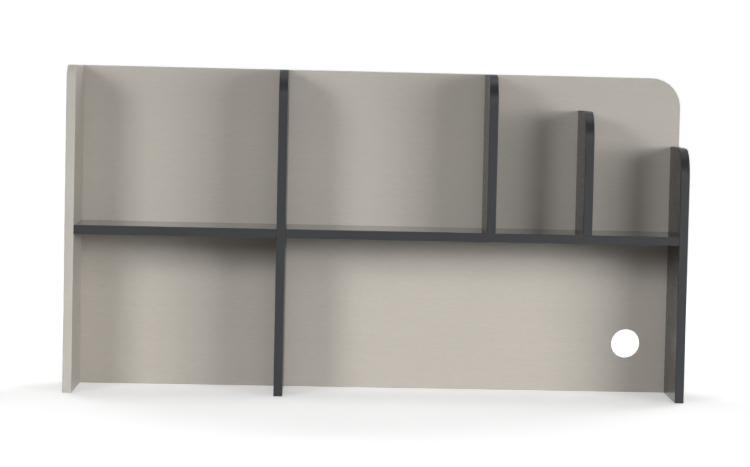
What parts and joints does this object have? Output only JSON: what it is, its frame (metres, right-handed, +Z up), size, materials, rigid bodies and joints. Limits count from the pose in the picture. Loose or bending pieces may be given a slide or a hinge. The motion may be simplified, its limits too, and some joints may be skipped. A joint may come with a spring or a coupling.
{
  "type": "desk hutch",
  "caption": "Open hutch that stands on a desk: a back panel with a round cable outlet, a shelf, and uprights with rounded corners that step down to the right.",
  "frame": {"origin": "on the desk top, midway between the outer side faces and midway between the front edges and the back panel's rear face", "axes": "+X to the user's right along the desk, +Y to the wall behind, +Z up"},
  "size_m": [1.24, 0.2016, 0.65],
  "materials": {
    "beige_board": "matte",
    "dark_board": "matte",
    "beige_band": "satin",
    "dark_band": "satin",
    "zinc_cam": "satin",
    "steel_fastener": "satin",
    "dowel_wood": "matte",
    "dark_cap": "satin",
    "beige_cap": "satin"
  },
  "bodies": {
    "root": {"back_panel": "beige_board", "back_panel_left_band": "beige_band", "back_panel_screws": "steel_fastener", "back_panel_top_band": "beige_band", "cam_bolts": "steel_fastener", "cam_covers": "dark_cap", "cam_locks": "zinc_cam", "double_cam_bolts": "steel_fastener", "dowels": "dowel_wood", "left_shelf": "dark_board", "left_shelf_band": "dark_band", "left_side_panel": "beige_board", "left_side_panel_band": "beige_band", "main_divider": "dark_board", "main_divider_band": "dark_band", "right_end_panel": "dark_board", "right_end_panel_band": "dark_band", "right_shelf": "dark_board", "right_shelf_band": "dark_band", "screw_covers": "beige_cap", "short_divider": "dark_board", "short_divider_band": "dark_band", "tall_divider": "dark_board", "tall_divider_band": "dark_band", "through_dowels": "dowel_wood"}
  },
  "joints": []
}
